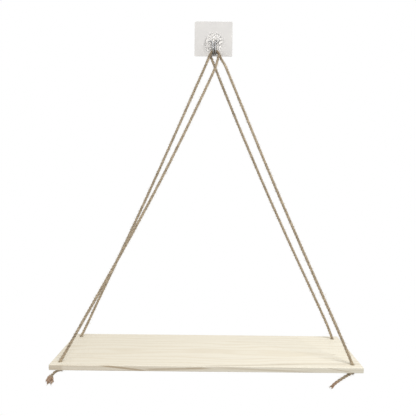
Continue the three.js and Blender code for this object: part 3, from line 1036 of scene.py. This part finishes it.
def ply_lines(stations, frays):
    """Three plies twisted about the line, which open out over the frayed length at each end."""
    side = None
    twist = 0.0
    total = len(stations)
    step_length = (stations[1][0] - stations[0][0]).length
    lines = [[], [], []]
    frames = []
    for index, (place, share) in enumerate(stations):
        ahead_place = stations[min(index + 1, total - 1)][0]
        behind_place = stations[max(index - 1, 0)][0]
        along = (ahead_place - behind_place).normalized()
        if side is None:
            side = along.orthogonal()
        side = (side - along * side.dot(along)).normalized()
        across = along.cross(side)
        opening = 0.0
        for reach, fray in ((index, frays[0]), (total - 1 - index, frays[1])):
            closeness = max(0.0, 1 - reach * step_length / fray[0])
            opening = max(opening, closeness**1.6 * fray[1])
        twist += 2 * math.pi * step_length / ply_pitch / (1 + opening * 1.5)
        twined = min(share, 1.0)
        spread = share / twined
        radius = rope_radius * twined
        for ply, line in enumerate(lines):
            angle = twist + ply * 2 * math.pi / 3
            outwards = side * math.cos(angle) + across * math.sin(angle)
            drift = noise.noise(place * ply_wander_scale + Vector((ply * 7.0, 0, 0)))
            wander = drift * ply_wander_share
            lean = 1 + opening * (0.8 + 0.5 * noise.noise(Vector((ply * 3.1, opening, place.x * 9))))
            centre = place + outwards * radius * (ply_reach_share + wander) * lean * spread
            swell = noise.noise(place * ply_swell_scale + Vector((0, ply * 5.0, 0)))
            thickness = 1 + ply_swell_share * swell
            line.append((centre, twined * thickness * (1 - 0.25 * min(opening, 1))))
            frames.append((centre, along, outwards, radius * ply_share * thickness))
    return lines, frames


def fibre_lines(stations, frames, seed, frays):
    """Loose fibres that stand off the plies all along, and a brush of them at each frayed end."""
    draw = random.Random(seed)
    fibres = []
    for _ in range(int(len(stations) * route_step * fibres_per_metre)):
        index = draw.randrange(fibre_end_steps, len(frames) - fibre_end_steps)
        centre, along, outwards, radius = frames[index]
        across = along.cross(outwards)
        angle = draw.uniform(-fibre_most_turn, fibre_most_turn)
        away = outwards * math.cos(angle) + across * math.sin(angle)
        root = centre + away * radius * 0.9
        length = draw.uniform(fibre_least_length, fibre_most_length)
        lift = draw.uniform(0.25, 1.2)
        lean = along * draw.choice((-1, 1)) + across * draw.uniform(-0.5, 0.5)
        middle = root + (lean * 0.5 + away * lift * 0.6) * length
        tip = middle + (lean * 0.45 + away * (lift * 0.5 - 0.15)) * length * 0.8
        fibres.append([(root, 1.0), (middle, 0.8), (tip, 0.35)])
    ends = ((frames[:brush_steps], -1, frays[0]), (frames[-brush_steps:], 1, frays[1]))
    for close, sense, fray in ends:
        for _ in range(fray[2]):
            centre, along, outwards, radius = draw.choice(close)
            heading = along * sense
            across = along.cross(outwards)
            splay = outwards * draw.uniform(-0.2, 0.75) + across * draw.uniform(-0.5, 0.5)
            root = centre + outwards * radius * draw.uniform(-0.7, 0.7)
            length = draw.uniform(fibre_least_length, fray[3])
            middle = root + (heading + splay * 0.4).normalized() * length * 0.55
            tip = middle + (heading * 0.8 + splay).normalized() * length * 0.45
            fibres.append([(root, 1.3), (middle, 1.0), (tip, 0.5)])
    return fibres


def tuft_lines(stations, frames, seed):
    """The yarns of a tail whose end has come apart into a bulky brush, along the thick stretch."""
    draw = random.Random(seed)
    tail_steps = range(len(stations) - tail_most_steps, len(stations))
    bulky = [index for index in tail_steps if stations[index][1] > tuft_least_share]
    earliest_end = bulky[0] + len(bulky) * 3 // 5
    yarns = []
    for _ in range(tuft_yarns):
        angle = draw.uniform(0, 2 * math.pi)
        reach = math.sqrt(draw.uniform(0, 1))
        last = draw.randrange(earliest_end, len(stations))
        yarn = []
        for index in range(bulky[0] - 2, last, 2):
            place, share = stations[index]
            # Each station has a frame for each of the three plies.
            _, along, outwards, _ = frames[index * 3]
            across = along.cross(outwards)
            heading = angle - index * route_step / ply_pitch * 2 * math.pi
            away = outwards * math.cos(heading) + across * math.sin(heading)
            here = place * tuft_wave_scale + Vector((angle * 5, reach * 9, 0))
            wave = Vector([noise.noise(here + up * shift) for shift in (0.0, 17.3, 41.9)])
            spread = away * share * reach * tuft_spread
            yarn.append((place + (spread + wave * tuft_wave) * rope_radius, 1.0))
        yarn[-1] = (yarn[-1][0], 0.45)
        yarns.append(yarn)
    return yarns


jute_material, tree, shader = new_material("jute_cord")
shader.inputs["Roughness"].default_value = 0.9
shader.inputs["Sheen Weight"].default_value = 0.15
coordinates = add_node(tree, "ShaderNodeTexCoord")
around = add_node(tree, "ShaderNodeSeparateXYZ")
tree.links.new(coordinates.outputs["UV"], around.inputs["Vector"])
stray = add_node(tree, "ShaderNodeTexNoise", Scale=900.0, Detail=3.0)
tree.links.new(coordinates.outputs["Object"], stray.inputs["Vector"])
patches = add_node(tree, "ShaderNodeTexNoise", Scale=260.0, Detail=3.0)
tree.links.new(coordinates.outputs["Object"], patches.inputs["Vector"])
yarn_turn = calculate(
    tree,
    "ADD",
    calculate(tree, "MULTIPLY", around.outputs["X"], 2 * math.pi * yarn_turns_along),
    calculate(tree, "MULTIPLY", around.outputs["Y"], 2 * math.pi * yarn_turns_around),
)
yarn_wave = calculate(
    tree, "SINE", calculate(tree, "MULTIPLY_ADD", stray.outputs["Fac"], yarn_stray, yarn_turn)
)
yarn_share = calculate(tree, "MULTIPLY_ADD", yarn_wave, 0.5, 0.5)
jute_ground = ramp_of(
    tree,
    patches.outputs["Fac"],
    (0.3, jute_dark),
    (0.5, jute_middle),
    (0.7, jute_light),
)
twisted_colour = blend_colours(
    tree,
    calculate(tree, "MULTIPLY", yarn_share, 0.4),
    jute_ground,
    yarn_light,
)
# Painted shade darkens the ropes where they lie over the hook, and they are redder at the low ends
# of the tails.
height = add_node(tree, "ShaderNodeSeparateXYZ")
tree.links.new(coordinates.outputs["Object"], height.inputs["Vector"])
below_hook = calculate(tree, "SUBTRACT", sway_z + saddle_rise, height.outputs["Z"])
hook_shaded_colour = blend_colours(
    tree,
    calculate(tree, "MULTIPLY", fade_out(tree, below_hook, hook_shade_near, hook_shade_far), 0.5),
    twisted_colour,
    hook_shade_colour,
)
above_red = calculate(tree, "SUBTRACT", height.outputs["Z"], board_bottom - red_drop)
jute_colour = blend_colours(
    tree,
    calculate(tree, "MULTIPLY", fade_out(tree, above_red, 0.0, red_fade), 0.5),
    hook_shaded_colour,
    red_colour,
)
tree.links.new(jute_colour, shader.inputs["Base Color"])
bump_from(tree, shader, yarn_share, 0.00012)

fibre_material, tree, shader = new_material("jute_fibres")
shader.inputs["Roughness"].default_value = 0.85
coordinates = add_node(tree, "ShaderNodeTexCoord")
fibre_tone = add_node(tree, "ShaderNodeTexNoise", Scale=500.0, Detail=1.0)
tree.links.new(coordinates.outputs["Object"], fibre_tone.inputs["Vector"])
fibre_colour = ramp_of(
    tree,
    fibre_tone.outputs["Fac"],
    (0.35, (0.42, 0.34, 0.23, 1)),
    (0.65, (0.78, 0.7, 0.56, 1)),
)
tree.links.new(fibre_colour, shader.inputs["Base Color"])

tuft_material, tree, shader = new_material("opened_yarn")
shader.inputs["Roughness"].default_value = 0.9
coordinates = add_node(tree, "ShaderNodeTexCoord")
yarn_tone = add_node(tree, "ShaderNodeTexNoise", Scale=420.0, Detail=3.0)
tree.links.new(coordinates.outputs["Object"], yarn_tone.inputs["Vector"])
yarn_colour = ramp_of(
    tree,
    yarn_tone.outputs["Fac"],
    (0.3, (0.27, 0.175, 0.12, 1)),
    (0.5, (0.5, 0.345, 0.24, 1)),
    (0.7, (0.68, 0.53, 0.39, 1)),
)
tree.links.new(yarn_colour, shader.inputs["Base Color"])
bump_from(tree, shader, yarn_tone.outputs["Fac"], 0.0001)

# A fray is how long the plies are open, how far, and its fibres' number and greatest length.
plain_fray = (0.004, 0.8, 60, 0.003)
open_fray = (0.003, 0.2, 150, 0.004)
brushed_fray = (0.005, 1.0, 90, 0.0035)
left_runs = ((left_back_bow, left_back_shares), (left_front_bow, left_front_shares))
right_runs = ((right_back_bow, right_back_shares), (right_front_bow, right_front_shares))
for name, side, layer, runs, front_tail, front_fray, has_tuft, seed in (
    ("left", -1, 1, left_runs, left_front_tail, open_fray, True, 11),
    ("right", 1, -1, right_runs, right_front_tail, brushed_fray, False, 23),
):
    stations = smooth_route(rope_route(side, layer, *runs, front_tail), route_step)
    frays = (plain_fray, front_fray)
    lines, frames = ply_lines(stations, frays)
    rope = finish_piece(
        f"{name}_rope",
        tube_mesh(lines, rope_radius * ply_share),
        jute_material,
        "shelf",
        "jute",
        *(
            f"{name}_rope_{part}"
            for part in ("back_knot", "back_run", "over_hook", "front_run", "front_knot")
        ),
    )
    fuzz = finish_piece(
        f"{name}_rope_fibres",
        tube_mesh(fibre_lines(stations, frames, seed, frays), fibre_radius, sides=4),
        fibre_material,
        "shelf",
        "jute",
    )
    if has_tuft:
        tuft = finish_piece(
            "left_rope_tuft",
            tube_mesh(tuft_lines(stations, frames, seed), tuft_yarn_radius, sides=6),
            tuft_material,
            "shelf",
            "jute",
        )
